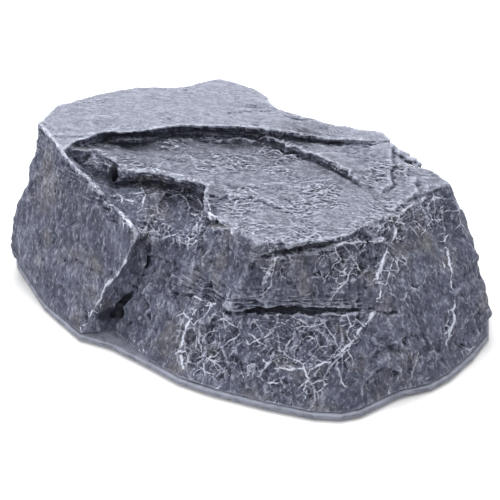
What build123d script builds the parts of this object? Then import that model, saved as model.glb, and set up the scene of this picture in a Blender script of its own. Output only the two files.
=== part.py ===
from build123d import *
import math
import os

# A hollow cast-resin cave ornament in the shape of a layered slate rock.
# Millimetres, +Z up. X runs along the rock and -Y is its show side.
# The origin is under the middle of the rock, on the surface it stands on.

# Driving dimensions
PAD_PROUD = 1.0         # how far the foot pads hold the base plate off the floor
PLATE_T = 3.0           # thickness of the base plate
PLATE_PROUD = 1.5       # how far the base plate's edge stands out from the rock's foot
FLANGE = 8.0            # how far the base plate reaches inside the shell wall
WALL = 8.5              # thickness of the cast wall
PAD_R = 6.0             # radius of a foot pad
PAD_T = 1.8             # thickness of a foot pad
PAD_EDGE_R = 0.5        # rounding of a pad's lower edge
PAD_INSET = 8.5         # from the rock's foot line in to a pad's centre
VENT_R = 2.5            # air vent, from the hollow under the lip down into the cave
FLOW_R = 2.5            # water hole, low in the crevice

FOOT_Z = PAD_PROUD + PLATE_T    # the rock's foot line, on top of the base plate
PAD_SEAT = PAD_T - PAD_PROUD    # depth of the recess that a pad sits in

# The rock's corners, as outlines one above the other. Each runs once round the
# rock, anticlockwise from the left end and along the show side first.
FOOT_TIP = (-52, -76)           # the slab's front corner, at each height
BELLY_TIP = (-45, -71, 20)
WAIST_TIP = (-32, -66, 44)

FOOT_LEFT = [(-133, 12), (-131, -20), (-119, -36), (-83, -62), FOOT_TIP]
FOOT_CREVICE = (-39, -66)       # where the crevice comes down to the base plate
PLATE_CREVICE = (-33, -75)      # the plate runs straight past it
FOOT_RIGHT = [
    (-7, -80), (12, -84.5), (32, -84.5), (58, -82), (82, -78), (94, -73), (101, -66),
    (112, -43), (123, -31), (128, -19), (132, 2), (133, 22),
    (121, 53), (98, 71), (62, 81), (10, 84.5), (-45, 83), (-95, 73), (-124, 45),
]

BELLY = [
    (-127, 12, 30), (-121, -34, 37), (-118, -43, 24), (-74, -62, 20), BELLY_TIP,
    (-34, -60, 20),
    (-10, -67, 20), (10, -69, 26), (30, -74, 24), (54, -71, 22), (84, -57, 24),
    (99, -50, 22), (112, -37, 22), (122, -8, 27), (128, 28, 26),
    (115, 52, 26), (98, 66, 26), (62, 76, 26), (10, 80, 26), (-45, 79, 26),
    (-92, 69, 26), (-120, 43, 28),
]

WAIST = [
    (-116, 12, 54), (-111, -33, 55), (-80, -51, 48), WAIST_TIP,
    (-24, -51, 44),
    (-10, -55, 42), (18, -61, 40), (29, -66, 40), (46, -60, 41), (67, -50, 42),
    (87, -41, 43), (106, -30, 40), (118, 11, 40), (120, 34, 40),
    (106, 54, 46), (90, 62, 48), (60, 68, 48), (10, 72, 48), (-45, 76, 48),
    (-88, 62, 48), (-113, 38, 52),
]

RIM_FRONT_LEFT = [(-112, 2, 86), (-109, -20, 86), (-85, -35, 85)]
RIM_SCOOP = [
    (-60, -47, 78), (-41, -54, 71), (-22, -63, 66), (-27, -50, 60),
    (-12, -47, 58), (4, -46, 60), (9, -45, 70),
]
RIM_RIGHT = [
    (25, -46, 74), (41, -54, 76), (58, -46, 77), (77, -30, 77), (80, -15, 77),
    (85, 0, 76), (90, 24, 75), (98, 41, 75), (85, 47, 77), (67, 48, 79), (66, 52, 77),
]
RIM_BACK = [
    (60, 57, 83), (49, 60, 84), (26, 54, 83), (14, 54, 86), (-6, 55, 86), (-14, 58, 88),
    (-33, 67, 90), (-48, 67, 90), (-61, 53, 87), (-86, 40, 87), (-102, 23, 86),
]

# Foot and edge of the lip that hangs over the scoop at the front
LIP_FOOT = [(-76, -30, 73), (-58, -32, 68), (-44, -22, 69), (-30, -17, 69), (-6, -20, 68), (3, -36, 66)]
LIP_EDGE = [(-75, -21, 80), (-47, -29, 79), (-30, -24, 79), (-6, -23, 78), (-4, -31, 75), (6, -41, 73)]

# Foot and edge of the step up to the top slab
STEP_FOOT = [(-80, -22, 80), (-74, -9, 80), (-49, 8, 80), (-34, 21, 80), (-2, 32, 80), (31, 42, 80)]
STEP_EDGE = [(-83, -28, 85), (-75, -14, 86), (-48, 4, 87), (-33, 17, 87), (-2, 28, 87), (32, 38, 84)]
TOP_CENTRE = (-48, 34, 90)

# Where the cave's roof comes to, inside
CROWN = [
    (-84, 0, 66), (-60, -18, 52), (-20, -22, 50), (30, -28, 62), (66, -8, 66),
    (74, 22, 66), (40, 40, 71), (-20, 42, 76), (-76, 22, 76),
]
CROWN_CENTRE = (0, 10, 72)

# The cave mouth in the back wall, as x and z
MOUTH = [(-38, 0), (-42, 20), (-33, 38), (-10, 49), (20, 50), (42, 40), (52, 22), (50, 0)]
MOUTH_NEAR = 40.0       # the mouth is cut from this y
MOUTH_FAR = 110.0       # to this one

# Ends of the two drilled holes
VENT_TOP = (-58, -30, 78)
VENT_BOTTOM = (-52, -20, 44)
FLOW_OUTSIDE = (-41, -72, 14)
FLOW_INSIDE = (-24, -40, 15)

PAD_AT = [0, 3, 8, 14, 19, 22]      # the foot corners that have a pad beside them


def moved_in(point, distance):
    """The point moved towards the rock's upright axis."""
    x, y = point[0], point[1]
    scale = 1 - distance / math.hypot(x, y)
    return (x * scale, y * scale, *point[2:])


def inset(ring, distance):
    return [moved_in(point, distance) for point in ring]


def at_height(ring, z):
    return [(point[0], point[1], z) for point in ring]


def foot_line(crevice):
    return FOOT_LEFT + [crevice] + FOOT_RIGHT


def strip(lower, upper):
    """Triangles between two closed outlines, taking the shorter diagonal each time."""
    triangles = []
    i = 0
    j = 0
    while i < len(lower) or j < len(upper):
        a = lower[i % len(lower)]
        b = upper[j % len(upper)]
        next_a = lower[(i + 1) % len(lower)]
        next_b = upper[(j + 1) % len(upper)]
        step_lower = j >= len(upper)
        if i < len(lower) and j < len(upper):
            step_lower = math.dist(next_a, b) < math.dist(a, next_b)
        if step_lower:
            triangles.append((a, next_a, b))
            i += 1
        else:
            triangles.append((a, next_b, b))
            j += 1
    return [t for t in triangles if len(set(t)) == 3]


def fan(ring, centre):
    return [(ring[i - 1], ring[i], centre) for i in range(len(ring))]


def faceted(rings, top_centre):
    """A closed solid through outlines one above the other, the lowest one flat."""
    triangles = fan(rings[-1], top_centre)
    for lower, upper in zip(rings, rings[1:]):
        triangles += strip(lower, upper)
    faces = [Face(Wire.make_polygon(t)) for t in triangles]
    faces.append(Face(Wire.make_polygon(rings[0])))
    return Solid(Shell(faces))


def rock_form():
    """The rock's outside: a slab at the left, a crevice, a front block and a layered top."""
    left = RIM_FRONT_LEFT
    rim = left + RIM_SCOOP + RIM_RIGHT + RIM_BACK
    lip_foot = left + LIP_FOOT + RIM_RIGHT + RIM_BACK
    lip_edge = left + LIP_EDGE + RIM_RIGHT + RIM_BACK
    step_foot = left + STEP_FOOT + RIM_BACK
    step_edge = left + STEP_EDGE + RIM_BACK
    foot = at_height(foot_line(FOOT_CREVICE), FOOT_Z)
    return faceted([foot, BELLY, WAIST, rim, lip_foot, lip_edge, step_foot, step_edge], TOP_CENTRE)


def inside(ring):
    """The cave's outline: a wall's thickness in, and straight behind the slab's front corner."""
    return [moved_in(point, WALL) for point in ring if point not in (FOOT_TIP, BELLY_TIP, WAIST_TIP)]


def cave_space():
    """The hollow inside, open downwards."""
    floor = at_height(inside(foot_line(FOOT_CREVICE)), 0)
    return faceted([floor, inside(BELLY), inside(WAIST), CROWN], CROWN_CENTRE)


def mouth_cut():
    arch = Face(Wire.make_polygon([(x, MOUTH_NEAR, z) for x, z in MOUTH]))
    return Solid.extrude(arch, Vector(0, MOUTH_FAR - MOUTH_NEAR, 0))


def round_hole(start, toward, radius):
    """A round bar from one point through another, for drilling."""
    along = Vector(*toward) - Vector(*start)
    plane = Plane(origin=start, z_dir=along)
    return plane * Cylinder(radius, along.length, align=(Align.CENTER, Align.CENTER, Align.MIN))


def make_shell():
    """The casting: open underneath, with its cave mouth behind."""
    vent = round_hole(VENT_TOP, VENT_BOTTOM, VENT_R)
    flow_hole = round_hole(FLOW_OUTSIDE, FLOW_INSIDE, FLOW_R)
    return rock_form() - cave_space() - mouth_cut() - vent - flow_hole


def pad_centres():
    line = foot_line(PLATE_CREVICE)
    return [moved_in(line[i], PAD_INSET) for i in PAD_AT]


def make_base_plate():
    """A flat ring under the rock's foot, with a seat below for each foot pad."""
    line = foot_line(PLATE_CREVICE)
    outline = Face(Wire.make_polygon(at_height(inset(line, -PLATE_PROUD), PAD_PROUD)))
    opening = Face(Wire.make_polygon(at_height(inset(line, WALL + FLANGE), PAD_PROUD)))
    up = Vector(0, 0, PLATE_T)
    plate = Solid.extrude(outline, up) - Solid.extrude(opening, up)
    for x, y in pad_centres():
        plate -= Pos(x, y, PAD_PROUD) * Cylinder(PAD_R, 2 * PAD_SEAT)
    return plate


def make_pad(x, y):
    """A stick-on pad with a rounded lower edge."""
    pad = Cylinder(PAD_R, PAD_T, align=(Align.CENTER, Align.CENTER, Align.MIN))
    pad = fillet(pad.faces().sort_by(Axis.Z)[0].edges(), PAD_EDGE_R)
    return Pos(x, y, 0) * pad


def write(name, shape):
    export_step(shape, f"parts/{name}.step")
    print(f"{name}: {shape.volume / 1000:.1f} cm3")


os.makedirs("parts", exist_ok=True)
write("rock_shell", make_shell())
write("base_plate", make_base_plate())
for number, (pad_x, pad_y) in enumerate(pad_centres(), start=1):
    write(f"foot_pad_{number}", make_pad(pad_x, pad_y))
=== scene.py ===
import math

import bpy
import numpy as np
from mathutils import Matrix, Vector
from mathutils.bvhtree import BVHTree


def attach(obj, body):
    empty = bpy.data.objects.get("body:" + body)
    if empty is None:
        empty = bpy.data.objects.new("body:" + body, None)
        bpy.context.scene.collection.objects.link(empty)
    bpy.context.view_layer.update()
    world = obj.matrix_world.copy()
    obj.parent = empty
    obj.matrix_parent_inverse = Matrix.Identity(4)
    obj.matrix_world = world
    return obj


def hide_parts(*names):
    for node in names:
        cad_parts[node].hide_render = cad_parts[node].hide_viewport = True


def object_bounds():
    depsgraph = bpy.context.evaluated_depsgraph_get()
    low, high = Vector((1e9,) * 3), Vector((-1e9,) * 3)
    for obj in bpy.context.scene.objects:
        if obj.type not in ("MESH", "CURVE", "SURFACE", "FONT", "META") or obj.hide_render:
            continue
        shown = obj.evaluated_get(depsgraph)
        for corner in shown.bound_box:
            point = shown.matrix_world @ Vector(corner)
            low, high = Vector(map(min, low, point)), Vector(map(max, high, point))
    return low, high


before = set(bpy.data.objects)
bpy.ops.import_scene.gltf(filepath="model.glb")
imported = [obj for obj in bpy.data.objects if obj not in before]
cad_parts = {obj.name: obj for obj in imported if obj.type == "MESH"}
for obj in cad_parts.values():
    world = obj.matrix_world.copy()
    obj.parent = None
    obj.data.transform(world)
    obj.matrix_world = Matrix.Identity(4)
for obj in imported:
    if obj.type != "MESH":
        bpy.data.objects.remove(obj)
cad_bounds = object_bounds()

# Lengths in this script are millimetres, and MM turns them into Blender's metres.
MM = 0.001
ROUGH_VOXEL = 0.8      # the waves, ledges and cracks are cut at this size
FINE_VOXEL = 0.55      # and the wrinkles and veins at this one
BASE_VOXEL = 0.7

FOOT_Z = 4.0            # where the rock meets its base plate
FOOT_FADE = 7.0         # the relief grows from nothing to full over this height
LEAST_WALL = 3.0        # cracks and dents leave this much of the wall, before chips and grain
CEILING = cad_bounds[1][2] / MM


# ---------------------------------------------------------------- noise

GRADIENTS = np.array([
    (1, 1, 0), (-1, 1, 0), (1, -1, 0), (-1, -1, 0), (1, 0, 1), (-1, 0, 1),
    (1, 0, -1), (-1, 0, -1), (0, 1, 1), (0, -1, 1), (0, 1, -1), (0, -1, -1)], np.float32).T.copy()

# Large odd numbers that make the noise look random and come out the same each run.
SCRAMBLERS = (0x7FEB352D, 0x846CA68B)
LATTICE_STEPS = (0x8DA6B343, 0xD8163841, 0xCB1AB31F)
SEED_STEP = 7919


def mixed(h):
    """Scrambles whole numbers, the same way each run."""
    for multiplier in SCRAMBLERS:
        h = (h ^ (h >> np.uint32(15))) * np.uint32(multiplier)
    return h ^ (h >> np.uint32(16))


def lattice(cell, seed):
    """A number for each lattice cell and for the next one along, axis by axis."""
    parts = []
    for axis, multiplier in enumerate(LATTICE_STEPS):
        first = cell[:, axis].astype(np.int32).astype(np.uint32) * np.uint32(multiplier)
        parts.append((first, first + np.uint32(multiplier)))
    return parts, np.uint32(seed * SEED_STEP + 17)


def lattice_hash(cell, seed):
    """A repeatable whole number for each lattice cell."""
    parts, start = lattice(cell, seed)
    return mixed(parts[0][0] + parts[1][0] + parts[2][0] + start)


def noise(p, seed=0):
    """Smooth noise, from about -1 to 1, with features one unit across and no sharp bends."""
    low = np.floor(p)
    parts, start = lattice(low, seed)
    f = [np.ascontiguousarray(column) for column in (p - low).astype(np.float32).T]
    fade = [t * t * t * (t * (t * 6 - 15) + 10) for t in f]
    weights = [(1 - t, t) for t in fade]
    total = np.zeros(len(p), np.float32)
    for i, j, k in np.ndindex(2, 2, 2):
        pick = mixed(parts[0][i] + parts[1][j] + parts[2][k] + start) % np.uint32(GRADIENTS.shape[1])
        x, y, z = GRADIENTS[:, pick]
        slope = x * (f[0] - i) + y * (f[1] - j) + z * (f[2] - k)
        total += weights[0][i] * weights[1][j] * weights[2][k] * slope
    return total


def layered(p, size, seed=0, octaves=3, fall=0.5, shape=np.positive):
    """Noise of this size with finer noise added to it, each passed through a shape."""
    total = np.zeros(len(p))
    strength = 1.0
    for octave in range(octaves):
        total += strength * shape(noise(p * (2.0 ** octave / size), seed + octave))
        strength *= fall
    return total


def crested(value):
    """A narrow crest where noise is 0."""
    return (1 - np.minimum(1, 2.2 * np.abs(value))) ** 2 - 0.35


def ridges(p, size, seed, octaves=3, fall=0.5):
    """Narrow crests of this size that meet and part, with finer crests between them."""
    return layered(p, size, seed, octaves, fall, crested)


def vector_noise(p, size, seed, octaves=1):
    return np.stack([layered(p, size, seed + 40 * axis, octaves) for axis in range(3)], axis=1)


def scattered(p, size, seed):
    """For each point and the two nearest of many scattered centres: the offset from
    each, in units of size, and the nearest one's number."""
    q = p / size
    cell = np.floor(q).astype(np.int64)
    near, far = np.full((2, len(p)), np.inf)
    near_offset, far_offset = np.zeros((2, len(p), 3))
    number = np.zeros(len(p), np.uint32)
    for step in np.ndindex(3, 3, 3):
        there = cell + np.array(step) - 1
        jitter = [lattice_hash(there, seed + 5 + axis) / 2.0 ** 32 for axis in range(3)]
        offset = q - there - np.stack(jitter, axis=1)
        distance = np.linalg.norm(offset, axis=1)
        nearer = distance < near
        between = ~nearer & (distance < far)
        far_offset[nearer] = near_offset[nearer]
        far_offset[between] = offset[between]
        far = np.where(nearer, near, np.where(between, distance, far))
        near_offset[nearer] = offset[nearer]
        near = np.where(nearer, distance, near)
        number = np.where(nearer, lattice_hash(there, seed), number)
    return near_offset, far_offset, number


def ramp(value, low, high):
    """0 below low, 1 above high, and a smooth curve between."""
    t = np.clip((value - low) / (high - low), 0, 1)
    return t * t * (3 - 2 * t)


# ---------------------------------------------------------------- mesh helpers

def points_of(mesh):
    flat = np.empty(len(mesh.vertices) * 3)
    mesh.vertices.foreach_get("co", flat)
    return flat.reshape(-1, 3) / MM


def move_points(mesh, points):
    mesh.vertices.foreach_set("co", (points * MM).ravel())
    mesh.update()


def add_attributes(mesh, **masks):
    for name, values in masks.items():
        attribute = mesh.attributes.new(name, "FLOAT", "POINT")
        attribute.data.foreach_set("value", values.astype(np.float32))


def remeshed(mesh, voxel):
    """The same closed form with even faces, one voxel across."""
    holder = bpy.data.objects.new("holder", mesh)
    bpy.context.scene.collection.objects.link(holder)
    modifier = holder.modifiers.new("even", "REMESH")
    modifier.mode = "VOXEL"
    modifier.voxel_size = voxel * MM
    depsgraph = bpy.context.evaluated_depsgraph_get()
    result = bpy.data.meshes.new_from_object(holder.evaluated_get(depsgraph))
    bpy.data.objects.remove(holder)
    return result


class Net:
    """Which points of a mesh are neighbours, for smoothing and for slopes."""

    def __init__(self, mesh):
        self.count = len(mesh.vertices)
        ends = np.empty(len(mesh.edges) * 2, np.int32)
        mesh.edges.foreach_get("vertices", ends)
        self.a, self.b = ends.reshape(-1, 2).T
        self.degree = np.maximum(1, np.bincount(ends, minlength=self.count))
        mesh.calc_loop_triangles()
        corners = np.empty(len(mesh.loop_triangles) * 3, np.int32)
        mesh.loop_triangles.foreach_get("vertices", corners)
        self.triangles = corners.reshape(-1, 3)

    def average(self, values):
        total = np.bincount(self.a, values[self.b], self.count)
        total += np.bincount(self.b, values[self.a], self.count)
        return total / self.degree

    def smooth(self, values, times):
        if values.ndim == 2:
            return np.stack([self.smooth(column, times) for column in values.T], axis=1)
        for _ in range(times):
            values = 0.4 * values + 0.6 * self.average(values)
        return values

    def slope(self, values, points):
        """How much the values change per millimetre along the surface."""
        lengths = np.linalg.norm(points[self.a] - points[self.b], axis=1)
        steps = np.abs(values[self.a] - values[self.b]) / np.maximum(1e-6, lengths)
        total = np.bincount(self.a, steps, self.count) + np.bincount(self.b, steps, self.count)
        return 0.5 * math.pi * total / self.degree

    def normals(self, points):
        a, b, c = (points[self.triangles[:, i]] for i in range(3))
        face = np.cross(b - a, c - a)
        total = np.zeros((self.count, 3))
        for axis in range(3):
            for corner in range(3):
                total[:, axis] += np.bincount(self.triangles[:, corner], face[:, axis], self.count)
        return total / np.maximum(1e-9, np.linalg.norm(total, axis=1))[:, None]


def along_line(p, line):
    """For each point: distance and offset from the nearest place on a line, and how
    far along the line that is, 0 to 1."""
    corners = np.array(line, float)
    steps = np.diff(corners, axis=0)
    lengths = np.linalg.norm(steps, axis=1)
    best = np.full(len(p), np.inf)
    offset = np.zeros_like(p)
    along = np.zeros(len(p))
    before = 0.0
    for start, step, length in zip(corners, steps, lengths):
        travel = np.clip((p - start) @ (step / length), 0, length)
        gap = p - start - travel[:, None] * (step / length)
        distance = np.linalg.norm(gap, axis=1)
        nearer = distance < best
        best = np.where(nearer, distance, best)
        offset = np.where(nearer[:, None], gap, offset)
        along = np.where(nearer, before + travel, along)
        before += length
    return best, offset, along / before


# ---------------------------------------------------------------- the rock's features

# Cracks: the line it follows, its half width, its depth and how much of it tapers.
BEDDING_CRACK = [
    (14, -63, 39), (29, -67, 40), (46, -60, 41), (67, -50, 42), (88, -41, 43), (97, -34, 43),
]
BEDDING_NOTCH = [(90, -40, 42), (99, -34, 41), (109, -27, 39)]
CREVICE_TOP = [(-37, -47, 71), (-30, -51, 67), (-25, -52, 60), (-24, -52, 44), (-27, -57, 32)]
CREVICE_FOOT = [(-29, -58, 27), (-36, -62, 16), (-42, -67, 6)]
UNDER_LIP = [(35, -55, 67), (45, -54, 69), (57, -47, 72), (68, -38, 74), (79, -27, 75.5)]
SMALL_CRACK = [(-14, -59, 32), (0, -60, 36), (14, -61, 40)]
FOOT_CRACK = [(92, -64, 17), (96, -66, 10), (99, -67, 5)]
PIT = [(36, -62, 46), (44, -60, 46)]
REAR_NOTCH = [(60, 62, 86), (63, 55, 80), (66, 46, 78)]
STEP_FOOT = [
    (-80, -21, 81), (-72, -10, 81), (-49, 7, 81), (-34, 19, 81), (-2, 30, 81), (26, 39, 81),
    (45, 44, 82),
]
GROOVES = [
    (BEDDING_CRACK, 2.4, 5.5, 0.35), (BEDDING_NOTCH, 1.3, 2.6, 0.4),
    (CREVICE_TOP, 1.3, 4.5, 0.25), (CREVICE_FOOT, 2.2, 5.0, 0.35),
    (UNDER_LIP, 3.2, 5.0, 0.45), (SMALL_CRACK, 1.3, 2.0, 0.35),
    (FOOT_CRACK, 1.3, 2.0, 0.35), (PIT, 2.0, 2.5, 0.5), (REAR_NOTCH, 3.0, 4.0, 0.35),
]
VENT = [(-58, -30, 78), (-55, -25, 61)]
WATER_HOLE = [(-41, -72, 14), (-31, -53, 15)]
HOLE_R = 2.5            # radius of the vent and of the water hole

# Painted shade in corners, at the feet of steps and under lips: the line, how dark, how slowly it thins
# out and the height it stops at.
LIP_FOOT = [
    (-76, -30, 73), (-58, -32, 68), (-44, -22, 69), (-30, -17, 69), (-6, -20, 68), (3, -36, 66),
]
LEDGE_FOOT = [(-4, 29, 80), (24, 24, 80), (45, 19, 79), (66, 12, 78)]
POCKET = [(-74, -31, 79), (-62, -35, 75), (-54, -34, 72)]
LIP_SHADOW = [(30, -50, 66), (50, -48, 66), (70, -37, 66), (88, -22, 60)]
SHADE_LINES = [
    (STEP_FOOT, 1.3, 13.0, 85), (LIP_FOOT, 0.75, 6.5, 75), (LEDGE_FOOT, 0.9, 4.5, 84),
    (POCKET, 1.1, 6.5, 82), (LIP_SHADOW, 0.36, 12.0, 72), (CREVICE_FOOT, 0.2, 12.0, 30),
]
DARKEST = 0.80          # the share of painted shade where it lies darkest

# Once round the plateau: its front lip, its right end and the foot of the step behind.
PLATEAU_EDGE = [
    (-80, -22, 80), (-47, -29, 79), (-6, -23, 78), (6, -41, 73), (25, -46, 74), (41, -54, 76),
    (58, -46, 77), (77, -30, 77), (85, 0, 76), (98, 41, 75), (67, 48, 79), (31, 42, 80),
    (-2, 32, 80), (-49, 8, 80), (-80, -22, 80),
]
PLATEAU_LOW = 72.0      # the plateau lies between these two heights
PLATEAU_HIGH = 83.0
IRONING = 160           # rounds of smoothing on the plateau
CORNER_IRONING = 16      # and in the corner below the step

# The slope beside the slab, below the height given last.
SLOPE_MIDDLE = (-32, -43)
SLOPE_HALF = (16, 14)   # half its size along X and Y
SLOPE_NEAR = -50.0      # its near edge along Y, its height there and how it rises from there
SLOPE_LOW = 60.0
SLOPE_BACK = 0.27
SLOPE_RIGHT = -27.0     # left of this it also rises towards the slab
SLOPE_LEFT = 0.35
SLOPE_TOP = 75.0
SCOOP_MIDDLE = (-20, -36, 63)
SCOOP_SIZE = (34, 24, 13)

# Smooth dents: the middle, the radii along X, Y and Z, and the depth. A swelling has
# a negative depth.
DENTS = [
    ((-60, -4, 80), (26, 13, 9), 3.0), ((-22, 19, 80), (28, 12, 8), 1.8),
    ((-66, -36, 76), (13, 9, 9), 2.5), ((76, 50, 79), (14, 10, 7), 4.5),
    ((112, 28, 60), (16, 30, 24), 2.8), ((-127, -8, 36), (16, 36, 18), -1.5),
    ((-20, 61, 88), (18, 12, 8), -1.6), ((18, 55, 85), (13, 10, 8), -1.4),
    ((55, 58, 84), (9, 8, 6), -1.6),
]

# Ledges seen from above: the surface is higher on the left of each line.
SECOND_LEDGE = [(-8, 27), (8, 28), (24, 25), (45, 20), (68, 13)]
SLAB_FLAKE = [(-34, 13), (-20, 20), (-6, 25), (12, 29)]
LOW_LEDGE = [(-8, -25), (6, -24), (24, -21), (42, -25)]
RIGHT_STEP = [(76, 14), (75, 24), (70, 34), (65, 44), (63, 60)]
RIGHT_FLAKE = [(84, 2), (89, 14), (89, 27), (82, 38)]
LEDGES = [
    (SECOND_LEDGE, 3.6, 24.0), (SLAB_FLAKE, 1.3, 5.0), (LOW_LEDGE, 1.1, 12.0),
    (RIGHT_STEP, 1.5, 14.0), (RIGHT_FLAKE, 1.2, 9.0),
]

# Crests that stand proud and have caught the pale paint: the line, height and width.
SLAB_EDGE = [(-108, -20, 86), (-85, -35, 85), (-60, -47, 78), (-41, -54, 71), (-23, -63, 66)]
SLAB_FRONT = [(-23, -63, 66), (-32, -66, 44), (-45, -71, 20), (-53, -75, 5)]
SECOND_EDGE = [(44, -54, 69), (57, -48, 71), (64, -42, 73), (78, -31, 73), (83, -20, 69), (89, -11, 67)]
CORNER = [
    (95, 31, 73), (90, 16, 74), (87, 4, 74), (90, -8, 68), (90, -22, 61), (91, -28, 54), (98, -33, 44),
]
RIGHT_RIDGE = [(96, 34, 73), (103, 28, 60), (113, 16, 46), (118, 8, 39), (123, -8, 23), (124, -16, 15)]
FRONT_RIDGE = [(96, -35, 43), (88, -50, 31), (84, -58, 24), (89, -63, 17), (97, -66, 7)]
FRONT_CREASE = [(46, -70, 24), (58, -73, 18), (72, -67, 19), (84, -58, 24)]
LEFT_RIDGE = [(22, -63, 40), (12, -62, 35), (9, -68, 28), (8, -76, 14), (14, -84, 4)]
POCKET_LIP = [(-57, -47, 76), (-48, -41, 73), (-36, -38, 71)]
PLATEAU_LIP = [
    (-72, -25, 77), (-57, -28, 77), (-43, -25, 76), (-31, -22, 77), (-11, -21, 78), (-4, -27, 76),
    (4, -38, 72), (16, -44, 72), (29, -47, 75), (40, -50, 76),
]
CRESTS = [
    (SLAB_EDGE, 0.7, 1.2), (SLAB_FRONT, 0.5, 1.2), (SECOND_EDGE, 0.9, 1.2), (CORNER, 0.8, 1.3),
    (RIGHT_RIDGE, 0.8, 1.3), (FRONT_RIDGE, 1.0, 1.4), (FRONT_CREASE, 0.6, 1.4),
    (LEFT_RIDGE, 0.8, 2.0), (POCKET_LIP, 0.8, 1.1), (PLATEAU_LIP, 0.3, 1.0),
]
LINE_SLACK = 6.0        # a crest's surface lies up to this far off its line
BRUSH_REACH = 8.0       # paint masks know about crests up to this far away
VEIN_REACH = 4.0        # and about veins up to this far away
LEAST_SLOPE = 0.25      # distances from a vein are stretched where they grow too slowly, down to this

SHIFTS = ("shift_x", "shift_y", "shift_z")    # how far the rough carving moved a point
REACH = 22.0            # no feature reaches further than this from its line
GRAIN_TURN = 18         # the slate's grain runs along X, turned this many degrees


def foot_weight(p):
    return ramp(p[:, 2], FOOT_Z, FOOT_Z + FOOT_FADE)


def nearby(shape):
    """Works a feature out only for the points near its line, and gives 0 elsewhere."""
    def near_only(p, line, *values):
        result = np.zeros(len(p))
        low = np.min(line, axis=0) - REACH
        high = np.max(line, axis=0) + REACH
        size = len(low)
        close = np.nonzero(((p[:, :size] > low) & (p[:, :size] < high)).all(axis=1))[0]
        result[close] = shape(p[close], line, *values)
        return result
    return near_only


@nearby
def groove(p, line, half_width, depth, taper, seed):
    """How deep a ragged crack along a line goes at each point. It thins towards its ends."""
    shaken = p + 1.0 * vector_noise(p, 5.0, 300 + seed)
    distance, _, along = along_line(shaken, line)
    swell = np.clip(np.minimum(along, 1 - along) / taper, 0, 1) ** 0.6
    swell = swell * (0.85 + 0.3 * noise(p / 9.0, 320 + seed))
    reach = np.maximum(0.05, half_width * swell)
    return depth * swell * (1 - ramp(distance, 0.5 * reach, reach))


@nearby
def ledge(p, line, height, width, seed):
    """A step seen from above, higher on the line's left, that fades away over a width."""
    shaken = p + 2.2 * vector_noise(p, 7.0, 340 + seed, 2)
    corners = [(x, y, 0) for x, y in line]
    distance, offset, along = along_line(shaken * (1, 1, 0), corners)
    ahead = np.gradient(np.array(corners, float), axis=0)
    stops = np.linspace(0, 1, len(corners))
    dx, dy = (np.interp(along, stops, ahead[:, axis]) for axis in (0, 1))
    left = (dx * offset[:, 1] - dy * offset[:, 0]) / np.maximum(1e-6, np.hypot(dx, dy))
    ends = ramp(along, 0, 0.15) * (1 - ramp(along, 0.8, 1.0)) * (distance < width)
    rise = ramp(left, -0.2, 0.9) * (1 - ramp(distance, 0.3 * width, width))
    undercut = 0.28 * height * np.exp(-((left + 1.1) / 1.0) ** 2)
    return ends * (height * rise - undercut)


def beside_line(placed, line, wobble):
    """Distance from a line measured along the surface, so that it may lie a little above
    or below it, and how far along the line that is. Each row holds a place and its normal."""
    p, normal = placed[:, :3], placed[:, 3:]
    _, offset, along = along_line(p + wobble, line)
    lift = (offset * normal).sum(axis=1)
    sideways = np.linalg.norm(offset - lift[:, None] * normal, axis=1)
    return sideways + np.maximum(0, np.abs(lift) - LINE_SLACK), along


@nearby
def brush_line(placed, line, boldness, seed):
    """How near a ragged line is: BRUSH_REACH on it, less further away. A bold line is wider."""
    p = placed[:, :3]
    wobble = 1.2 * vector_noise(p, 7.0, 380 + seed, 2) + 0.4 * vector_noise(p, 1.8, 400 + seed)
    distance, along = beside_line(placed, line, wobble)
    gone = 0.45 * ramp(noise(p / 9.0, 390 + seed), 0.1, 0.4)
    gone += 3 * (1 - ramp(np.minimum(along, 1 - along), 0, 0.06))
    return np.maximum(0, BRUSH_REACH - distance / boldness - gone)


@nearby
def crest_line(placed, line, width, seed):
    """1 on a ragged line, fading to 0 over its width, broken here and there."""
    p = placed[:, :3]
    distance, along = beside_line(placed, line, 0.9 * vector_noise(p, 4.5, 380 + seed, 2))
    ends = ramp(along, 0, 0.08) * (1 - ramp(along, 0.92, 1.0))
    strength = 0.45 + 0.55 * ramp(noise(p / 8.0, 390 + seed), -0.35, 0.15)
    return strength * ends * np.exp(-(distance / width) ** 2)


def dent(p, middle, radii, depth):
    """A smooth dent with soft edges."""
    distance = np.linalg.norm((p - middle) / radii, axis=1)
    return depth * (1 - ramp(distance, 0.0, 1.0))


def terraces(height, step):
    """Turns gentle slopes into flakes: flat steps with a short steep edge."""
    levels = height / step
    return step * (np.floor(levels) + ramp(levels - np.floor(levels), 0.0, 0.16))


def chipped(p, size, seed, lift, tilt):
    """Flat chips: each scattered cell is a plane of its own height and slope."""
    shaken = p + 0.18 * size * vector_noise(p, 0.6 * size, seed + 60)
    offset, other, number = scattered(shaken, size, seed)
    inside = np.linalg.norm(other, axis=1) - np.linalg.norm(offset, axis=1)
    pick = [((number >> np.uint32(8 * k)) & np.uint32(255)) / 127.5 - 1 for k in range(4)]
    slope = pick[1] * offset[:, 0] + pick[2] * offset[:, 1] + pick[3] * offset[:, 2]
    plane = lift * pick[0] + tilt * slope
    return plane * ramp(inside, 0.0, 0.12)


def upward_ray(rise, turn):
    """A direction of length 1 that rises this much, turned about the vertical."""
    level = math.sqrt(1 - rise * rise)
    return Vector((math.cos(turn) * level, math.sin(turn) * level, rise))


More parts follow.
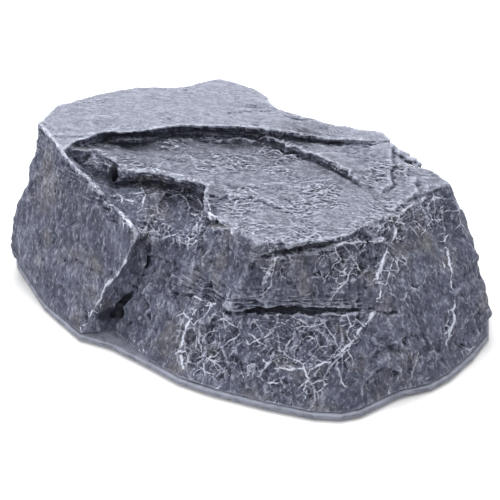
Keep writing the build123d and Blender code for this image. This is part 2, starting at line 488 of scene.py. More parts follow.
def outside_faces(mesh):
    """True for each face of the hollow casting that light from above or beside can reach."""
    corners = [v.co for v in mesh.vertices]
    faces = [tuple(f.vertices) for f in mesh.polygons]
    tree = BVHTree.FromPolygons(corners, faces)
    rays = [upward_ray(0.1 + 0.8 * ((i * 0.618) % 1), i * 2.399) for i in range(48)]
    rays += [upward_ray(0.0, turn) for turn in np.arange(0, 2 * math.pi, 0.25)]
    result = []
    for face in mesh.polygons:
        start = face.center + face.normal * 0.1 * MM
        facing = [r for r in rays if r.dot(face.normal) > 0.05]
        free = [r for r in facing if tree.ray_cast(start, r)[0] is None]
        result.append(len(free) > 0.3 * max(1, len(facing)))
    return tree, result


def outside_points(points, tree, face_outside):
    """1 for each point on the weathered outside, 0 in the cave."""
    found = [tree.find_nearest(Vector(p * MM))[2] for p in points]
    return np.array([face_outside[i] for i in found], float)


def wall_left(p, normal, tree, where):
    """How much wall lies under each of these points, measured straight in."""
    thickness = np.full(len(p), 99.0)
    for i in np.nonzero(where)[0]:
        start = Vector((p[i] - 0.5 * normal[i]) * MM)
        hit = tree.ray_cast(start, Vector(-normal[i]))
        if hit[0] is not None:
            thickness[i] = hit[3] / MM
    return thickness


def turned(p, degrees):
    """Points turned about the vertical, so that noise can be stretched along any direction."""
    c, s = math.cos(math.radians(degrees)), math.sin(math.radians(degrees))
    return np.stack([c * p[:, 0] + s * p[:, 1], c * p[:, 1] - s * p[:, 0], p[:, 2]], axis=1)


def ironed(p, net):
    """Smooths out the creases between flat faces on the plateau and on the slope beside
    the slab. The edges round them stay sharp."""
    clear, _, _ = along_line(p, PLATEAU_EDGE)
    flat = ramp(clear, 4.0, 9.0) * ramp(p[:, 2], PLATEAU_LOW - 1, PLATEAU_LOW + 1)
    flat *= 1 - ramp(p[:, 2], PLATEAU_HIGH - 1, PLATEAU_HIGH + 1)
    flat *= (p[:, 0] > -50) & (p[:, 0] < 92)
    result = p + flat[:, None] * (net.smooth(p, IRONING) - p)
    corner = 1 - ramp(along_line(p, STEP_FOOT)[0], 2.5, 6.0)
    result += corner[:, None] * (net.smooth(result, CORNER_IRONING) - result)
    return lowered_slope(result, net)


def lowered_slope(p, net):
    """Brings the slope beside the slab down to a plane, right up to the slab's edge."""
    clear = np.minimum(along_line(p, SLAB_EDGE)[0], along_line(p, SLAB_FRONT)[0])
    near = 1 - ramp(np.max(np.abs(p[:, :2] - SLOPE_MIDDLE) / SLOPE_HALF, axis=1), 0.8, 1.4)
    plane = SLOPE_LOW + SLOPE_BACK * (p[:, 1] - SLOPE_NEAR)
    plane += SLOPE_LEFT * np.maximum(0, SLOPE_RIGHT - p[:, 0])
    over = np.maximum(0, p[:, 2] - plane) * (p[:, 2] < SLOPE_TOP)
    lowered = p.copy()
    lowered[:, 2] -= near * ramp(clear, 0.8, 3.5) * over
    return p + near[:, None] * ramp(clear, 1, 3)[:, None] * (net.smooth(lowered, 8) - p)


def hole_shade(p):
    """Painted shade inside the two drilled holes."""
    gaps = [along_line(p, line)[0] for line in (VENT, WATER_HOLE)]
    return 1 - ramp(np.min(gaps, axis=0), HOLE_R + 0.5, HOLE_R + 2.0)


def foot_shade(p, line, strength, reach, top, seed):
    """Painted shade along the foot of a step or under a lip, below the step's top."""
    gap, _, along = along_line(p + 1.8 * vector_noise(p, 8.0, 45 + seed), line)
    ends = ramp(along, 0, 0.08) * (1 - ramp(along, 0.75, 1.0))
    uneven = 0.85 + 0.6 * noise(turned(p, GRAIN_TURN) * (0.06, 0.2, 0.5), 46 + seed)
    dark = np.minimum(DARKEST, strength * ends * np.exp(-gap / reach))
    return dark * uneven * (1 - ramp(p[:, 2], top, top + 2))


def carve_rough(mesh, tree, face_outside):
    """Gives the plain casting its wavy faces, ledges, cracks and chips."""
    net = Net(mesh)
    home = points_of(mesh)
    outside = net.smooth(outside_points(home, tree, face_outside), 3)
    flat_home = home
    home = ironed(home, net)
    weight = outside * foot_weight(home)
    normal = net.normals(net.smooth(home, 6))
    wave = 1.8 * vector_noise(home, 26.0, 1) + 1.0 * vector_noise(home, 9.0, 5, 2)
    p = home + weight[:, None] * wave * (1, 1, 0.5)
    steep = 1 - ramp(normal[:, 2], 0.45, 0.8)
    inward = sum(groove(home, *values, seed) for seed, values in enumerate(GROOVES))
    cracked = ramp(inward, 0.9, 3.2)
    # Painted shade in the cracks and inside the two drilled holes.
    shade = net.smooth(np.maximum(cracked, hole_shade(home)), 1)
    # Painted shade along the feet of steps and under lips.
    stain = np.max([foot_shade(home, *values, seed) for seed, values in enumerate(SHADE_LINES)], axis=0)
    inward += sum(dent(home, *values) for values in DENTS)
    thickness = wall_left(home, normal, tree, (inward > 0.5) & (outside > 0.5))
    inward = np.minimum(inward, np.maximum(0, thickness - LEAST_WALL))
    front = ramp(p[:, 0], -45, -10)
    chips = chipped(p, 17.0, 11, 0.7, 1.7) + chipped(p, 7.5, 12, 0.40, 0.9)
    outward = steep * (0.7 + 0.5 * front) * chips
    top = (1 - steep) * (p[:, 2] > 60)
    outward += top * sum(ledge(home, *values, seed) for seed, values in enumerate(LEDGES))
    slope = 1.3 * layered(turned(p, GRAIN_TURN) * (0.4, 1, 1), 30.0, 41, 3, 0.45)
    flaky = ramp(noise(p / 30.0, 42), -0.1, 0.2)
    outward += top * flaky * (terraces(slope, 0.8) - slope)
    placed = np.hstack([home, normal])
    outward += sum(h * crest_line(placed, line, w, seed) for seed, (line, h, w) in enumerate(CRESTS))
    p = p + (weight * (outward - inward))[:, None] * normal
    p[:, 2] = soft_ceiling(p[:, 2])
    move_points(mesh, p)
    add_attributes(mesh, outside=outside, shade=shade, stain=stain)
    add_attributes(mesh, **dict(zip(SHIFTS, (p - flat_home).T)))


def soft_ceiling(z):
    """Eases heights that come near the casting's top back under it."""
    start = CEILING - 3.0
    over = np.maximum(0, z - start)
    return np.where(z > start, start + 2.6 * np.tanh(over / 2.6), z)


def carried_over(rough, fine, names):
    """Each value at the fine mesh's points, from the nearest face of the rough mesh."""
    corners = [v.co for v in rough.vertices]
    tree = BVHTree.FromPolygons(corners, [tuple(f.vertices) for f in rough.polygons])
    first_corner = np.empty(len(rough.polygons), np.int32)
    rough.polygons.foreach_get("loop_start", first_corner)
    corner_point = np.empty(len(rough.loops), np.int32)
    rough.loops.foreach_get("vertex_index", corner_point)
    found = np.array([tree.find_nearest(v.co)[2] for v in fine.vertices])
    source = corner_point[first_corner[found]]
    result = {}
    for name in names:
        values = np.empty(len(rough.vertices), np.float32)
        rough.attributes[name].data.foreach_get("value", values)
        result[name] = values[source].astype(float)
    return result


def veins(p, size, seed):
    """Rough distance from a web of lines that part the surface into patches of this size."""
    shaken = p + 0.26 * size * vector_noise(p, 0.8 * size, seed + 60)
    shaken += 0.5 * vector_noise(p, 2.5, seed + 64)
    near, far, _ = scattered(shaken, size, seed)
    apart = np.linalg.norm(near - far, axis=1)
    return size * ((far ** 2).sum(axis=1) - (near ** 2).sum(axis=1)) / (2 * apart)


def vein_gap(net, p, patches, size, seed):
    """Distance in millimetres, along the surface, from the nearest vein."""
    gap = np.full(len(p), VEIN_REACH)
    veined = np.nonzero(patches > 0.01)[0]
    gap[veined] = veins(p[veined], size, seed)
    slope = net.smooth(net.slope(gap, p), 4)
    return np.minimum(VEIN_REACH, gap / np.maximum(LEAST_SLOPE, slope))


def in_scoop(p):
    """1 on the slope between the slab and the plateau."""
    return 1 - ramp(np.linalg.norm((p - SCOOP_MIDDLE) / SCOOP_SIZE, axis=1), 0.7, 1.0)


def vein_patches(p, left):
    """Where veins are thick on the ground: most on the lower front, least beside the slab."""
    low = ramp(p[:, 0], 0, 14) * (1 - ramp(p[:, 0], 84, 98)) * (1 - ramp(p[:, 2], 32, 42))
    under_lip = ramp(p[:, 0], 34, 48) * (1 - ramp(p[:, 0], 94, 104)) * ramp(p[:, 2], 46, 56)
    share = 0.22 + 0.54 * np.max([low, 0.6 * under_lip, 0.8 * in_scoop(p)], axis=0) + 0.08 * (1 - left)
    return share * ramp(layered(p, 22.0, 26, 2) + 0.6 * share, 0.05, 0.55)


def weathered(p, up, left):
    """Height of the slate's fine relief on the outside, and where veins show."""
    slab = ramp(p[:, 2], 80, 84)
    side = 1 - up * ramp(p[:, 2], 69, 74)
    patches = side * vein_patches(p, left)
    drift = p + 2.5 * vector_noise(p, 18.0, 21)
    patch = 0.25 + 0.75 * ramp(layered(p, 24.0, 23, 2), -0.35, 0.35)
    wrinkles = ridges(turned(drift, GRAIN_TURN) * (0.46, 1, 1), 3.4, 22, 3, 0.6)
    relief = (1 - side) * patch * (0.62 - 0.40 * slab) * wrinkles
    relief += side * left * 0.45 * ridges(drift * (1, 1, 0.36), 7.0, 24, 3, 0.45)
    busy = side * (1 - left) * (0.32 + 0.6 * patches + 0.35 * in_scoop(p))
    relief += busy * ridges(drift * (1, 1, 0.75), 8.0, 25, 4, 0.5)

    lamina = ridges(p * (0.12, 0.12, 1), 2.2, 30, 2)
    near_crack = ramp(p[:, 0], -20, 5) * (1 - ramp(p[:, 0], 85, 100)) * (p[:, 1] < 0)
    near_crack *= np.exp(-((p[:, 2] - 44) / 7.0) ** 2)
    relief += side * np.maximum(0.42 * ramp(p[:, 2], 60, 72), 0.7 * near_crack) * lamina
    relief += 0.08 * layered(p, 1.6, 31, 2)
    return relief, patches


def crests_and_edges(net, p, normal, seen):
    """How far each point stands out of what is close round it, and of what is further round it."""
    crest, edge = np.zeros((2, len(p)))
    smoothed = p
    for times, sharp, broad in ((2, 2, 0), (6, 1, 0), (24, 0, 1), (60, 0, 0.4)):
        smoothed = net.smooth(smoothed, times)
        height = ((p - smoothed) * normal).sum(axis=1)
        crest += sharp * height
        edge += broad * height
    return crest / np.std(crest[seen]), edge / np.std(edge[seen])


def brushed_gap(p, placed):
    """Distance from the nearest line that has caught the pale brush, the foot line with them."""
    near = [brush_line(placed, line, 0.6 + 0.7 * h, seed) for seed, (line, h, _) in enumerate(CRESTS)]
    foot = BRUSH_REACH - np.abs(p[:, 2] - FOOT_Z - 0.6) - 1.2 * (1 + layered(p, 7.0, 47, 2))
    return BRUSH_REACH - np.maximum(0, np.max([*near, foot], axis=0))


def high_up(p):
    """1 as high as the slab's top, a little less at the plateau, and 0 below it."""
    plateau = np.where(p[:, 0] < 9, ramp(p[:, 2], 73, 77), ramp(p[:, 2], 67, 71))
    return plateau * (0.8 + 0.2 * ramp(p[:, 2], 81, 84))


def carve_fine(mesh, kept):
    """Adds the slate's wrinkles, veins, streaks and grain, and stores the masks for paint, for painted
    shade and for painted light on the top.
    """
    net = Net(mesh)
    p = points_of(mesh)
    p = net.smooth(p, 2)
    shift = np.stack([net.smooth(kept[name], 3) for name in SHIFTS], axis=1)
    home = p - shift
    normal = net.normals(net.smooth(p, 12))
    outside = net.smooth(kept["outside"], 4)
    up = ramp(normal[:, 2], 0.5, 0.85)
    left = ramp(-p[:, 0] + 0.12 * p[:, 2], 30, 50)
    relief, patches = np.zeros((2, len(p)))
    shown = np.nonzero(outside > 0.02)[0]
    relief[shown], patches[shown] = weathered(p[shown], up[shown], left[shown])
    wide, narrow = (vein_gap(net, p, patches, size, seed) for size, seed in ((15.0, 27), (8.0, 28)))
    relief += patches * (0.40 * np.exp(-(wide / 0.6) ** 2) + 0.25 * np.exp(-(narrow / 0.5) ** 2))
    hidden = np.nonzero(outside < 0.98)[0]
    relief *= outside
    relief[hidden] += (1 - outside[hidden]) * 0.5 * layered(p[hidden], 12.0, 32, 4)
    moved = p + (foot_weight(p) * relief)[:, None] * normal
    moved[:, 2] = soft_ceiling(moved[:, 2])
    low, high = (np.array(corner) / MM for corner in cad_bounds)
    moved = np.clip(moved, low + 0.05, high - 0.05)
    move_points(mesh, moved)

    fresh = net.normals(moved)
    crest, edge = crests_and_edges(net, moved, fresh, outside > 0.9)
    gap = brushed_gap(p, np.hstack([home, normal]))
    add_attributes(mesh, crest=crest, edge=edge, line_gap=gap, outside=outside)
    add_attributes(mesh, vein_wide=wide, vein_narrow=narrow, vein_patches=patches)
    add_attributes(mesh, shade=net.smooth(kept["shade"], 1), stain=net.smooth(kept["stain"], 3))
    # Upward faces high up, where the pale top coat goes: partly dry-brushed paint, partly painted light
    # from above.
    add_attributes(mesh, top=net.smooth(up * high_up(p), 2))
    lay_flat(mesh, moved, net.smooth(fresh, 30), outside)


# ---------------------------------------------------------------- flat layout for baked paint

# The six views, each by its axis and side, and how large each is drawn: for surfaces seen
# first and for surfaces behind them, on the outside and in the cave.
VIEWS = [(0, -1), (0, 1), (1, -1), (1, 1), (2, -1), (2, 1)]
DRAWN = [
    [(1.0, 1.0, 1.0, 0.8, 0.3, 1.0), (0.35, 0.35, 0.7, 0.35, 0.2, 0.35)],
    [(0.4, 0.4, 0.4, 0.4, 0.4, 0.4), (0.2, 0.2, 0.2, 0.2, 0.2, 0.2)],
]
BEHIND = 8.0            # a surface this far behind another is drawn apart from it
BEHIND_CELL = 3.0       # the two are compared within squares of this size
GUTTER = 3.0            # free space between the drawn views


def seen_along(p, axis, side):
    """Places as seen from one side: how far across, how far up and how far away."""
    across, up = (i for i in range(3) if i != axis)
    turn = -side if axis == 1 else side
    return turn * p[:, across], p[:, up], -side * p[:, axis]


def seen_first(across, up, away):
    """True where no other of these surfaces lies well in front."""
    squares = np.floor(np.stack([across, up], axis=1) / BEHIND_CELL)
    _, square = np.unique(squares, axis=0, return_inverse=True)
    square = square.ravel()
    nearest = np.full(len(away), np.inf)
    np.minimum.at(nearest, square, away)
    return away < nearest[square] + BEHIND


def in_rows(sizes, width):
    """Places for rectangles set out in rows, tallest first, and the side of a square round them."""
    places = np.zeros((len(sizes), 2))
    x = y = tallest = 0.0
    for i in np.argsort(-sizes[:, 1]):
        if x + sizes[i, 0] > width:
            x, y, tallest = 0.0, y + tallest, 0.0
        places[i] = x, y
        x += sizes[i, 0]
        tallest = max(tallest, sizes[i, 1])
    return places, max(width, y + tallest)


BAKE_MAP = "OFBake"     # the UV layer that paint is baked to has this name


def lay_flat(mesh, p, normal, outside):
    """Maps the rock to a flat square as six views, for paint that is baked to an image."""
    corner_point = np.empty(len(mesh.loops), np.int32)
    mesh.loops.foreach_get("vertex_index", corner_point)
    start = np.empty(len(mesh.polygons), np.int32)
    mesh.polygons.foreach_get("loop_start", start)
    count = np.diff(np.append(start, len(corner_point)))
    facing = np.add.reduceat(normal[corner_point], start) / count[:, None]
    middle = np.add.reduceat(p[corner_point], start) / count[:, None]
    cave = np.add.reduceat(outside[corner_point], start) / count < 0.5
    axis = np.abs(facing).argmax(axis=1)
    side = np.sign(facing[np.arange(len(axis)), axis])

    chart = np.zeros(len(start), np.int32)
    charts = []
    for view, (along, way) in enumerate(VIEWS):
        for in_cave in (0, 1):
            faces = np.nonzero((axis == along) & (side == way) & (cave == in_cave))[0]
            first = seen_first(*seen_along(middle[faces], along, way))
            for behind, drawn in enumerate((faces[first], faces[~first])):
                chart[drawn] = len(charts)
                charts.append((along, way, DRAWN[in_cave][behind][view]))

    chart = np.repeat(chart, count)
    flat = np.zeros((len(corner_point), 2))
    sizes = np.zeros((len(charts), 2))
    for number, (along, way, scale) in enumerate(charts):
        mine = np.nonzero(chart == number)[0]
        if len(mine):
            across, up, _ = seen_along(p[corner_point[mine]], along, way)
            drawn = scale * np.stack([across, up], axis=1)
            flat[mine] = drawn - drawn.min(axis=0)
            sizes[number] = np.ptp(drawn, axis=0) + GUTTER
    widths = np.arange(sizes[:, 0].max(), sizes[:, 0].sum(), GUTTER)
    places, square = min((in_rows(sizes, width) for width in widths), key=lambda found: found[1])
    layer = mesh.uv_layers.new(name=BAKE_MAP)
    layer.data.foreach_set("uv", ((flat + places[chart]) / square).ravel())


# ---------------------------------------------------------------- materials

class Nodes:
    """A material's node tree, with short calls for the few nodes used here."""

    def __init__(self, name):
        self.material = bpy.data.materials.new(name)
        self.material.use_nodes = True
        self.tree = self.material.node_tree
        self.shader = self.tree.nodes["Principled BSDF"]

    def link(self, source, target):
        self.tree.links.new(source, target)

    def put(self, socket, value):
        if isinstance(value, bpy.types.NodeSocket):
            self.link(value, socket)
        elif isinstance(value, (tuple, list)) and len(value) == 3 and socket.type == "RGBA":
            socket.default_value = (*value, 1)
        else:
            socket.default_value = value

    def attribute(self, name):
        node = self.tree.nodes.new("ShaderNodeAttribute")
        node.attribute_name = name
        return node.outputs["Fac"]

    def place(self, longer=(1, 1, 1), turn=0.0):
        """Places on the piece, turned about the vertical. Features come out that much longer."""
        place = self.tree.nodes.new("ShaderNodeTexCoord")
        mapping = self.tree.nodes.new("ShaderNodeMapping")
        mapping.vector_type = "TEXTURE"
        mapping.inputs["Rotation"].default_value = (0, 0, math.radians(turn))
        mapping.inputs["Scale"].default_value = longer
        self.link(place.outputs["Object"], mapping.inputs["Vector"])
        return mapping.outputs["Vector"]

    def noise_node(self, place, size, detail, rough):
        node = self.tree.nodes.new("ShaderNodeTexNoise")
        node.inputs["Scale"].default_value = 1 / (size * MM)
        node.inputs["Detail"].default_value = detail
        node.inputs["Roughness"].default_value = rough
        self.link(place, node.inputs["Vector"])
        return node

    def noise(self, place, size, detail=3.0, rough=0.6):
        """Noise around 0.5 with features of this size in millimetres."""
        return self.noise_node(place, size, detail, rough).outputs["Fac"]

    def vector(self, operation, a, b):
        node = self.tree.nodes.new("ShaderNodeVectorMath")
        node.operation = operation
        self.put(node.inputs[0], a)
        self.put(node.inputs["Scale"] if operation == "SCALE" else node.inputs[1], b)
        return node.outputs["Vector"]

    def shaken(self, place, size, amount):
        """Places pushed about by noise, both in millimetres."""
        push = self.noise_node(place, size, 2.0, 0.5).outputs["Color"]
        push = self.vector("SCALE", self.vector("SUBTRACT", push, (0.5, 0.5, 0.5)), 2 * amount * MM)
        return self.vector("ADD", place, push)

    def wandering(self, place, size):
        """Distance in millimetres from lines that wander, where a noise is at its middle."""
        away = self.math("ABSOLUTE", self.math("SUBTRACT", self.noise(place, size, 1.0), 0.5))
        return self.product(away, 1.6 * size)

    def stroke(self, gap, width):
        """1 nearer a line than its width, with a soft edge."""
        return self.range(self.math("DIVIDE", gap, width), 1.1, 0.5)

    def product(self, first, *others):
        for other in others:
            first = self.math("MULTIPLY", first, other)
        return first

    def math(self, operation, *values):
        node = self.tree.nodes.new("ShaderNodeMath")
        node.operation = operation
        for socket, value in zip(node.inputs, values):
            self.put(socket, value)
        return node.outputs["Value"]

    def range(self, value, low, high, to_low=0.0, to_high=1.0):
        node = self.tree.nodes.new("ShaderNodeMapRange")
        node.interpolation_type = "SMOOTHSTEP"
        node.inputs["From Min"].default_value = low
        node.inputs["From Max"].default_value = high
        node.inputs["To Min"].default_value = to_low
        node.inputs["To Max"].default_value = to_high
        self.put(node.inputs["Value"], value)
        return node.outputs["Result"]

    def mix(self, factor, a, b):
        node = self.tree.nodes.new("ShaderNodeMix")
        node.data_type = "RGBA"
        self.put(node.inputs["Factor"], factor)
        self.put(node.inputs[6], a)
        self.put(node.inputs[7], b)
        return node.outputs[2]

    def bump(self, height, distance, strength=1.0):
        node = self.tree.nodes.new("ShaderNodeBump")
        node.inputs["Strength"].default_value = strength
        node.inputs["Distance"].default_value = distance * MM
        self.put(node.inputs["Height"], height)
        return node.outputs["Normal"]


# Colour of the painted shade in hollows, cracks, holes and at the feet of steps.
SHADE_BLACK = (0.011, 0.013, 0.024)
DEEP_SLATE = (0.028, 0.031, 0.052)
DARK_SLATE = (0.052, 0.057, 0.094)
MID_SLATE = (0.098, 0.106, 0.160)
WARM_SLATE = (0.138, 0.128, 0.128)
PALE_BRUSH = (0.50, 0.53, 0.64)
LINE_WHITE = (0.60, 0.63, 0.74)
TOP_COAT_AND_LIGHT = (0.27, 0.285, 0.35)
BARE_RESIN = (0.115, 0.120, 0.135)
PALE_RESIN = (0.150, 0.155, 0.170)
BASE_DARK = (0.120, 0.127, 0.165)
BASE_PALE = (0.230, 0.240, 0.300)
RUBBER_DARK = (0.018, 0.018, 0.020)
RUBBER_PALE = (0.034, 0.034, 0.037)
FLOOR_WHITE = (0.93, 0.93, 0.93)


def centred(m, value, strength):
    """Noise moved to lie around 0."""
    return m.product(m.math("SUBTRACT", value, 0.5), strength)


def slate_veins(m, plain, side):
    """Pale lines on the sides: raised veins in two sizes, and brushed edges."""
    rough_width = m.noise(plain, 7.0, 4.0, 0.65)
    thick = m.range(rough_width, 0.36, 0.64, 0.08, 0.46)
    thin = m.range(rough_width, 0.40, 0.62, 0.04, 0.32)
    near = m.range(m.attribute("line_gap"), 6.0, 1.0, 0.0, 0.6)
    shown = m.math("MAXIMUM", m.attribute("vein_patches"), m.product(near, side))
    wide = m.product(m.stroke(m.attribute("vein_wide"), thick), m.range(shown, 0.15, 0.45))
    narrow = m.product(m.stroke(m.attribute("vein_narrow"), thin), m.range(shown, 0.35, 0.70))
    ragged = centred(m, m.noise(plain, 1.3, 3.0, 0.7), 1.4)
    brushed = m.math("ADD", m.attribute("line_gap"), ragged)
    brushed = m.stroke(brushed, m.range(m.noise(plain, 4.0, 3.0), 0.36, 0.62, 0.22, 0.70))
    return m.math("MAXIMUM", m.math("MAXIMUM", wide, narrow), brushed)


def top_creases(m, chip):
    """Fine creases along the grain of the top, painted dark as the shade in them."""
    grained = m.shaken(m.place((2.4, 1, 1), GRAIN_TURN), 6.0, 2.2)
    bent = m.stroke(m.wandering(grained, 5.0), m.range(chip, 0.42, 0.60, 0.02, 0.50))
    straighter = m.wandering(m.place((1.8, 1, 1), 12), 3.0)
    straighter = m.stroke(straighter, m.range(chip, 0.46, 0.62, 0.02, 0.36))
    return m.math("MAXIMUM", bent, straighter)


def side_crease_shade(m, chip):
    """Fine creases that run up and down the sides, painted dark as the shade in them."""
    upright = m.shaken(m.place((1, 1, 1.7)), 6.0, 2.2)
    return m.stroke(m.wandering(upright, 4.5), m.range(chip, 0.44, 0.60, 0.02, 0.40))


def bare_slate(m, plain, top, streak):
    """Dark slate with brownish patches, pale and dark brushing, and upright streaks."""
    cloud = m.noise(plain, 14, 5.0, 0.65)
    body = m.mix(m.range(cloud, 0.36, 0.64), DARK_SLATE, MID_SLATE)
    warm = m.range(m.noise(m.place((1, 1, 1.3)), 21, 4.0), 0.48, 0.68, 0.0, 0.65)
    body = m.mix(m.product(warm, m.range(top, 0.0, 0.5, 1.0, 0.1)), body, WARM_SLATE)
    brushing = m.noise(m.shaken(m.place((1, 1, 2.4)), 9.0, 3.0), 4.5, 5.0, 0.7)
    body = m.mix(m.range(brushing, 0.50, 0.72, 0.0, 0.38), body, PALE_BRUSH)
    body = m.mix(m.range(brushing, 0.50, 0.32, 0.0, 0.45), body, DEEP_SLATE)
    body = m.mix(m.range(streak, 0.48, 0.30, 0.0, 0.62), body, DEEP_SLATE)
    return m.mix(m.range(streak, 0.52, 0.74, 0.0, 0.40), body, PALE_BRUSH)


def pale_dust(m, high, grit, top, side):
    """How much pale paint has caught on crests, on the sides and on the top."""
    dusted = m.math("ADD", high, centred(m, grit, 3.0))
    dusting = m.product(m.range(m.attribute("vein_patches"), 0.05, 0.5, 0.28, 0.55), side)
    on_side = m.product(m.range(dusted, 0.6, 3.0), dusting)
    on_top = m.product(m.range(dusted, 0.5, 2.0, 0.0, 0.80), top)
    return m.math("ADD", on_side, on_top)


def slate_paint():
    """Dark slate with a pale dry-brushed coat on crests, wrinkles and the top, where the coat is partly
    painted light from above, and painted shade in hollows, cracks, holes, creases and at the feet of
    steps.
    """
    m = Nodes("painted_slate_resin")
    top = m.attribute("top")
    side = m.math("SUBTRACT", 1.0, top)
    high = m.math("ADD", m.attribute("crest"), m.product(m.attribute("edge"), 0.4))
    plain = m.place()
    chip = m.noise(m.shaken(plain, 5.0, 1.5), 2.6, 4.0, 0.6)
    grit = m.noise(plain, 1.1, 3.0, 0.7)
    streak = m.noise(m.shaken(m.place((1, 1, 2.6)), 5.0, 1.0), 1.5, 3.0, 0.6)
    lines = slate_veins(m, plain, side)
    creases = top_creases(m, chip)

    colour = bare_slate(m, plain, top, streak)
    # Pale top coat on the upward faces: partly dry-brushed paint, partly painted light falling from
    # above.
    coat = m.math("ADD", high, centred(m, chip, 3.0))
    colour = m.mix(m.product(m.range(coat, -1.8, 0.3), top), colour, TOP_COAT_AND_LIGHT)
    # Painted shade in hollows, where the surface lies below what is round it.
    colour = m.mix(m.range(high, -0.7, -2.6), colour, SHADE_BLACK)
    # Painted shade in fine creases on the sides.
    colour = m.mix(m.product(side_crease_shade(m, chip), side, 0.65), colour, DEEP_SLATE)
    colour = m.mix(pale_dust(m, high, grit, top, side), colour, PALE_BRUSH)
    colour = m.mix(m.product(lines, 0.92), colour, LINE_WHITE)
    # Painted shade in fine creases on the top, less on the slab.
    on_slab = m.range(top, 0.70, 0.95, 0.75, 0.25)
    colour = m.mix(m.product(creases, top, on_slab), colour, DEEP_SLATE)

    resin = m.mix(m.range(m.noise(plain, 5, 4.0), 0.4, 0.65), BARE_RESIN, PALE_RESIN)
    colour = m.mix(m.range(m.attribute("outside"), 0.4, 0.6), resin, colour)
    # Painted shade along the feet of steps and under lips, thinner on crests.
    stain = m.product(m.attribute("stain"), m.range(high, 0.3, 2.2, 1.0, 0.35))
    colour = m.mix(stain, colour, SHADE_BLACK)
    # Painted shade in the cracks and inside the two drilled holes.
    colour = m.mix(m.range(m.attribute("shade"), 0.05, 1.0, 0.0, 0.90), colour, SHADE_BLACK)
    m.put(m.shader.inputs["Base Color"], colour)
    m.put(m.shader.inputs["Roughness"], m.range(grit, 0.3, 0.7, 0.62, 0.86))
    m.shader.inputs["Specular IOR Level"].default_value = 0.35
    m.put(m.shader.inputs["Normal"], finest_relief(m, [
        (chip, m.range(side, 0, 1, 0.4, 0.8)),
        (grit, m.range(side, 0, 1, 0.12, 0.20)),
        (streak, m.range(side, 0, 1, 0.1, 0.3)),
        (lines, 0.25),
        (creases, m.range(top, 0, 1, 0.0, -0.25)),
    ]))
    return m.material


def finest_relief(m, patterns):
    """Bumps too fine for the mesh: each pattern times its height in millimetres."""
    height = 0.0
    for pattern, tall in patterns:
        height = m.math("ADD", height, m.product(pattern, tall))
    return m.bump(height, 1.0, 1.0)


def base_paint():
    """Grey painted resin, flecked, with its worn rim a little paler."""
    m = Nodes("painted_base_resin")
    fleck = m.noise(m.shaken(m.place((2, 2, 1)), 6.0, 1.5), 2.4, 4.0)
    colour = m.mix(m.range(fleck, 0.32, 0.62), BASE_DARK, BASE_PALE)
    colour = m.mix(m.range(m.attribute("crest"), 0.1, 0.6, 0, 0.28), colour, PALE_BRUSH)
    m.put(m.shader.inputs["Base Color"], colour)
    m.put(m.shader.inputs["Roughness"], m.range(fleck, 0.3, 0.7, 0.65, 0.85))
    m.put(m.shader.inputs["Normal"], m.bump(m.noise(m.place(), 1.4, 4.0), 0.6))
    return m.material


def pad_rubber():
    m = Nodes("foot_pad_rubber")
    speck = m.noise(m.place(), 0.7)
    m.put(m.shader.inputs["Base Color"], m.mix(speck, RUBBER_DARK, RUBBER_PALE))
    m.put(m.shader.inputs["Roughness"], m.range(speck, 0.3, 0.7, 0.70, 0.88))
    m.put(m.shader.inputs["Normal"], m.bump(speck, 0.08, 0.5))
    return m.material


# ---------------------------------------------------------------- pieces

def add_piece(name, mesh, material, node):
    mesh.materials.clear()
    mesh.materials.append(material)
    mesh.polygons.foreach_set("use_smooth", [True] * len(mesh.polygons))
    piece = bpy.data.objects.new(name, mesh)
    bpy.context.scene.collection.objects.link(piece)
    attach(piece, "root")
    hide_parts(node)
    return piece


def make_rock():
    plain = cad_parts["rock_shell"].data.copy()
    tree, face_outside = outside_faces(plain)
    rough = remeshed(plain, ROUGH_VOXEL)
    carve_rough(rough, tree, face_outside)
    fine = remeshed(rough.copy(), FINE_VOXEL)
    carve_fine(fine, carried_over(rough, fine, ["outside", "shade", "stain", *SHIFTS]))
    return add_piece("rock_cast", fine, slate_paint(), "rock_shell")


def make_base():
    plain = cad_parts["base_plate"].data.copy()
    mesh = remeshed(plain, BASE_VOXEL)
    net = Net(mesh)
    p = points_of(mesh)
    normal = net.normals(net.smooth(p, 4))
    side = 1 - np.abs(normal[:, 2])
    wear = side * (0.35 + 0.3 * layered(p, 6.0, 71, 3))
    worn = net.smooth(p - np.maximum(0, wear)[:, None] * normal, 1)
    move_points(mesh, worn)
    crest = ((worn - net.smooth(worn, 4)) * net.normals(worn)).sum(axis=1)
    add_attributes(mesh, crest=3 * crest * ramp(worn[:, 2], 2, 3))
    return add_piece("base_plate_cast", mesh, base_paint(), "base_plate")


def finish_pads():
    rubber = pad_rubber()
    for name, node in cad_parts.items():
        if name.startswith("foot_pad"):
            node.data.materials.clear()
            node.data.materials.append(rubber)


# ---------------------------------------------------------------- stage, light and camera

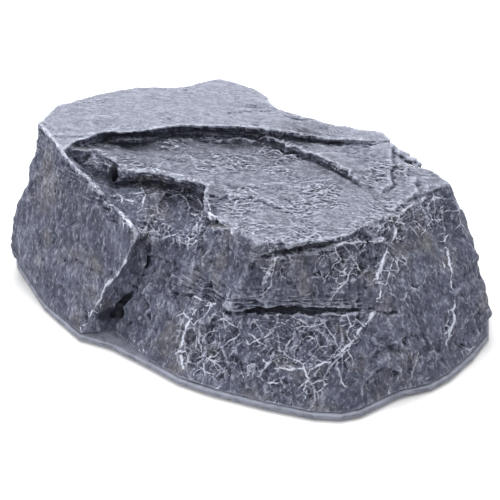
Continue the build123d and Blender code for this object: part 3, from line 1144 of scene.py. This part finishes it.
# In metres and watts.
FLOOR_HALF = 6.0
ROOM_LIGHT = 0.8
LIGHT_AIM = (0, 0, 0.04)
CAMERA_AIM = (0.015, -0.016, 0.042)
CAMERA_AWAY = 0.8
CAMERA_AZIMUTH = math.radians(28)        # to the right of square-on
CAMERA_RISE = math.radians(32.5)


def make_floor():
    mesh = bpy.data.meshes.new("floor")
    corners = [(x * FLOOR_HALF, y * FLOOR_HALF, 0) for x, y in ((-1, -1), (1, -1), (1, 1), (-1, 1))]
    mesh.from_pydata(corners, [], [(0, 1, 2, 3)])
    floor = bpy.data.objects.new("floor", mesh)
    bpy.context.scene.collection.objects.link(floor)
    m = Nodes("pale_floor")
    m.shader.inputs["Base Color"].default_value = (*FLOOR_WHITE, 1)
    m.shader.inputs["Roughness"].default_value = 0.9
    m.shader.inputs["Specular IOR Level"].default_value = 0.1
    mesh.materials.append(m.material)


def soft_light(name, place, width, watts):
    light = bpy.data.lights.new(name, "AREA")
    light.size = width
    light.energy = watts
    holder = bpy.data.objects.new(name, light)
    holder.location = place
    holder.rotation_euler = (Vector(LIGHT_AIM) - Vector(place)).to_track_quat("-Z", "Y").to_euler()
    bpy.context.scene.collection.objects.link(holder)


def make_light():
    world = bpy.data.worlds.new("studio")
    world.use_nodes = True
    background = world.node_tree.nodes["Background"]
    background.inputs["Color"].default_value = (1, 1, 1, 1)
    background.inputs["Strength"].default_value = ROOM_LIGHT
    bpy.context.scene.world = world
    soft_light("key_above", (-0.25, 0.35, 1.1), width=0.9, watts=14)
    soft_light("front_fill", (-0.9, -1.0, 0.7), width=0.8, watts=6)


def make_camera():
    level = math.cos(CAMERA_RISE)
    away = Vector((
        math.sin(CAMERA_AZIMUTH) * level,
        -math.cos(CAMERA_AZIMUTH) * level,
        math.sin(CAMERA_RISE),
    ))
    data = bpy.data.cameras.new("camera")
    data.lens = 112
    data.sensor_width = 36
    camera = bpy.data.objects.new("camera", data)
    camera.location = Vector(CAMERA_AIM) + CAMERA_AWAY * away
    camera.rotation_euler = (-away).to_track_quat("-Z", "Y").to_euler()
    bpy.context.scene.collection.objects.link(camera)
    bpy.context.scene.camera = camera


bpy.context.scene.view_settings.view_transform = "Standard"
make_floor()
make_light()
make_camera()
make_rock()
make_base()
finish_pads()
